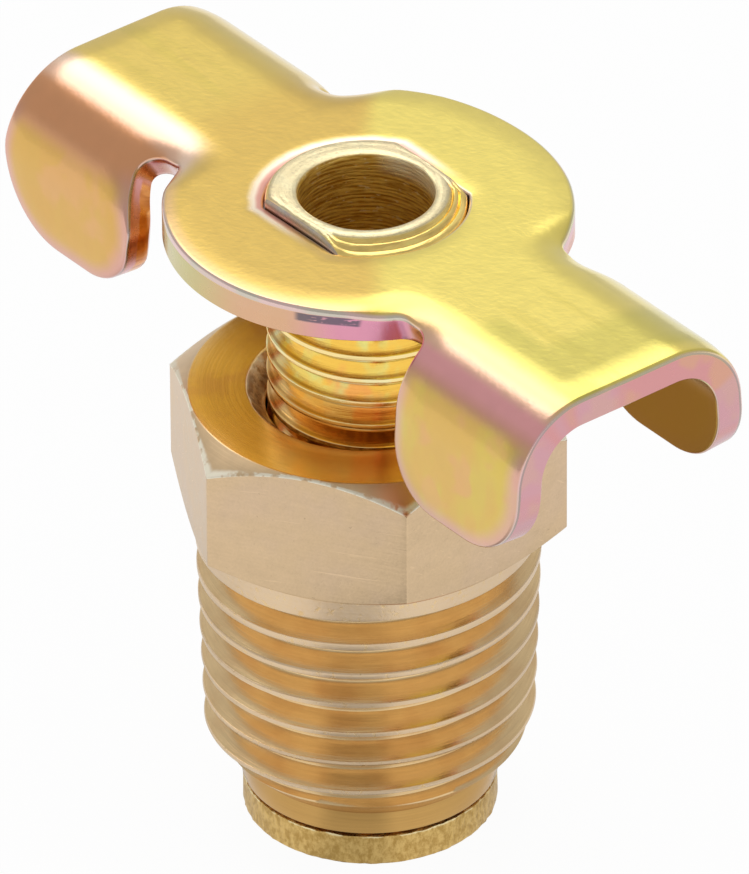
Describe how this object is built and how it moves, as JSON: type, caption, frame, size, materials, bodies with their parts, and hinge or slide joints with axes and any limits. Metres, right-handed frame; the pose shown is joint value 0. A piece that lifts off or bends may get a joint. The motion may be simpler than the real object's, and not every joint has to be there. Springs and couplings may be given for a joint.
{
  "type": "radiator drain petcock",
  "caption": "Brass drain petcock with a taper pipe thread, hexagon and hollow left-hand screw stem, turned by a pressed wing handle to lift a valve disc off its seat.",
  "frame": {"origin": "centre of the valve disc's underside, on the screw's axis", "axes": "+Z along the screw from the disc to the wing, X along the wing's two arms with the valve shut"},
  "size_m": [0.032, 0.0164, 0.0284],
  "materials": {
    "body_brass": "satin turned brass",
    "stem_brass": "bright turned brass",
    "seal_rubber": "matt black rubber",
    "yellow_zinc_steel": "yellow chromate zinc on pressed steel"
  },
  "bodies": {
    "body": {"valve_body": "body_brass"},
    "seal_carrier": {"seal_ring": "seal_rubber"},
    "screw": {"stem": "stem_brass", "wing_handle": "yellow_zinc_steel"}
  },
  "joints": [
    {"name": "stem_travel", "type": "slide", "parent": "body", "child": "seal_carrier", "axis": [0, 0, 1], "range_m": [-0.00635, 0]},
    {"name": "stem_turn", "type": "hinge", "parent": "seal_carrier", "child": "screw", "pos_m": [0, 0, 0], "axis": [0, 0, 1], "range_deg": [0, 2160]}
  ],
  "couplings": [
    {"joint": "stem_travel", "follows": "stem_turn", "m_per_rad": -0.00016844}
  ]
}
